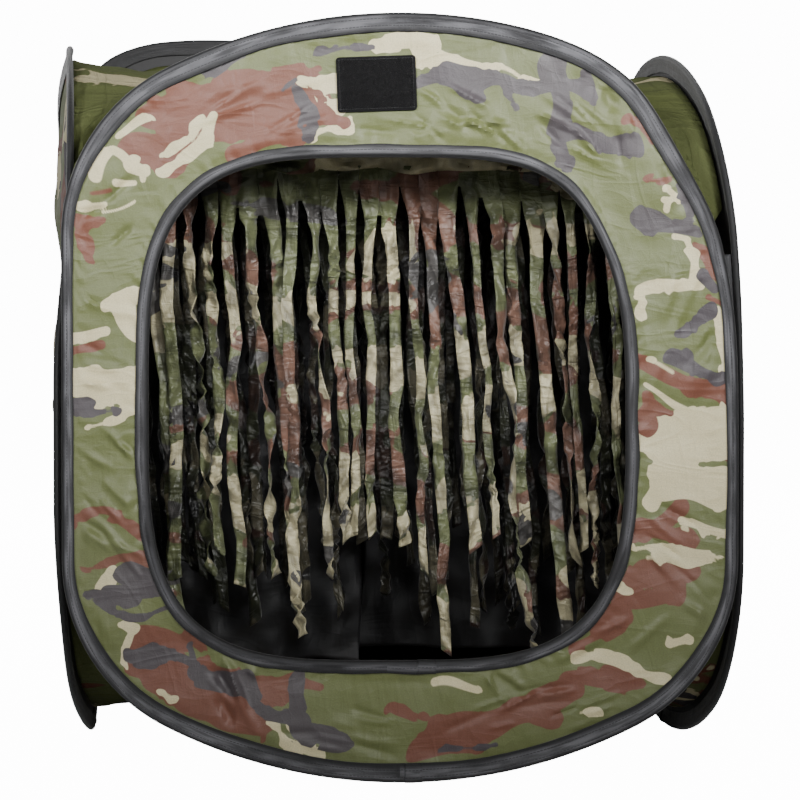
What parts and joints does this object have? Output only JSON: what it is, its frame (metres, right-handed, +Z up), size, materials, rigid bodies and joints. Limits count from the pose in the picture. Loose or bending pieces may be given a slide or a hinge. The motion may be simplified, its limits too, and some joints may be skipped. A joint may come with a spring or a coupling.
{
  "type": "pop up ground blind",
  "caption": "Camouflage cloth cube on folding spring hoops, open at the front, with hanging strips and backing sheets inside.",
  "frame": {"origin": "on the ground, under the middle of the standing cube", "axes": "+Z up, -Y out of the open front, +X to the right as seen from the front"},
  "size_m": [0.6466, 0.592, 0.6995],
  "materials": {
    "camo_cloth": "light woven polyester with a woodland print, slight sheen",
    "camo_lining": "the same cloth in shade",
    "strip_cloth": "crumpled printed strips with cut edges",
    "binding_tape": "charcoal woven binding tape, folded and stitched",
    "backing_cloth": "black woven cloth",
    "loop_pile": "black loop fastener pile",
    "spring_steel": "tempered spring wire",
    "ferrule_metal": "crimped sleeve"
  },
  "bodies": {
    "front": {"front_panel": "camo_cloth", "front_binding": "binding_tape", "front_hoop": "spring_steel", "front_ferrule": "ferrule_metal", "opening_binding": "binding_tape", "opening_hoop": "spring_steel", "opening_ferrule": "ferrule_metal", "loop_patch": "loop_pile", "roof_panel": "camo_cloth", "floor_panel": "camo_cloth", "curtain_front_header": "camo_lining", "curtain_middle_header": "camo_lining", "curtain_rear_header": "camo_lining", "backing_left_header": "backing_cloth", "backing_right_header": "backing_cloth", "corner_tape_front_left": "binding_tape", "corner_tape_front_right": "binding_tape"},
    "left_wall": {"left_panel": "camo_cloth", "left_binding": "binding_tape", "left_hoop": "spring_steel", "left_ferrule": "ferrule_metal", "corner_tape_rear_left": "binding_tape"},
    "right_wall": {"right_panel": "camo_cloth", "right_binding": "binding_tape", "right_hoop": "spring_steel", "right_ferrule": "ferrule_metal"},
    "rear_wall": {"rear_panel": "camo_cloth", "rear_binding": "binding_tape", "rear_hoop": "spring_steel", "rear_ferrule": "ferrule_metal", "corner_tape_rear_right": "binding_tape"},
    "curtain_front": {"curtain_front_strips": "strip_cloth"},
    "curtain_middle": {"curtain_middle_strips": "strip_cloth"},
    "curtain_rear": {"curtain_rear_strips": "strip_cloth"},
    "backing_left": {"backing_left_sheet": "backing_cloth"},
    "backing_right": {"backing_right_sheet": "backing_cloth"}
  },
  "joints": [
    {"name": "fold_hinge", "type": "hinge", "parent": "front", "child": "left_wall", "pos_m": [-0.25635, -0.28806, 0], "axis": [0, 0, -1], "range_deg": [0, 92], "deforming": ["roof_panel", "floor_panel", "curtain_front_header", "curtain_front_strips", "curtain_middle_header", "curtain_middle_strips", "curtain_rear_header", "curtain_rear_strips", "backing_left_header", "backing_left_sheet", "backing_right_header", "backing_right_sheet", "corner_tape_front_left", "corner_tape_front_right", "corner_tape_rear_left", "corner_tape_rear_right"]},
    {"name": "right_hinge", "type": "hinge", "parent": "front", "child": "right_wall", "pos_m": [0.32365, -0.28806, 0], "axis": [0, 0, -1], "range_deg": [0, 92]},
    {"name": "rear_hinge", "type": "hinge", "parent": "left_wall", "child": "rear_wall", "pos_m": [-0.32365, 0.28806, 0], "axis": [0, 0, -1], "range_deg": [-92, 0]},
    {"name": "curtain_front_swing", "type": "hinge", "parent": "front", "child": "curtain_front", "pos_m": [0, -0.19266, 0.531], "axis": [1, 0, 0], "range_deg": [-5, 5]},
    {"name": "curtain_middle_swing", "type": "hinge", "parent": "front", "child": "curtain_middle", "pos_m": [0, -0.10266, 0.531], "axis": [1, 0, 0], "range_deg": [-5, 5]},
    {"name": "curtain_rear_swing", "type": "hinge", "parent": "front", "child": "curtain_rear", "pos_m": [0, -0.01266, 0.531], "axis": [1, 0, 0], "range_deg": [-5, 5]},
    {"name": "backing_left_swing", "type": "hinge", "parent": "front", "child": "backing_left", "pos_m": [0, 0.08234, 0.531], "axis": [1, 0, 0], "range_deg": [-5, 5]},
    {"name": "backing_right_swing", "type": "hinge", "parent": "front", "child": "backing_right", "pos_m": [0, 0.15234, 0.531], "axis": [1, 0, 0], "range_deg": [-5, 5]}
  ],
  "couplings": [
    {"joint": "right_hinge", "follows": "fold_hinge", "ratio": 1},
    {"joint": "rear_hinge", "follows": "fold_hinge", "ratio": -1}
  ]
}
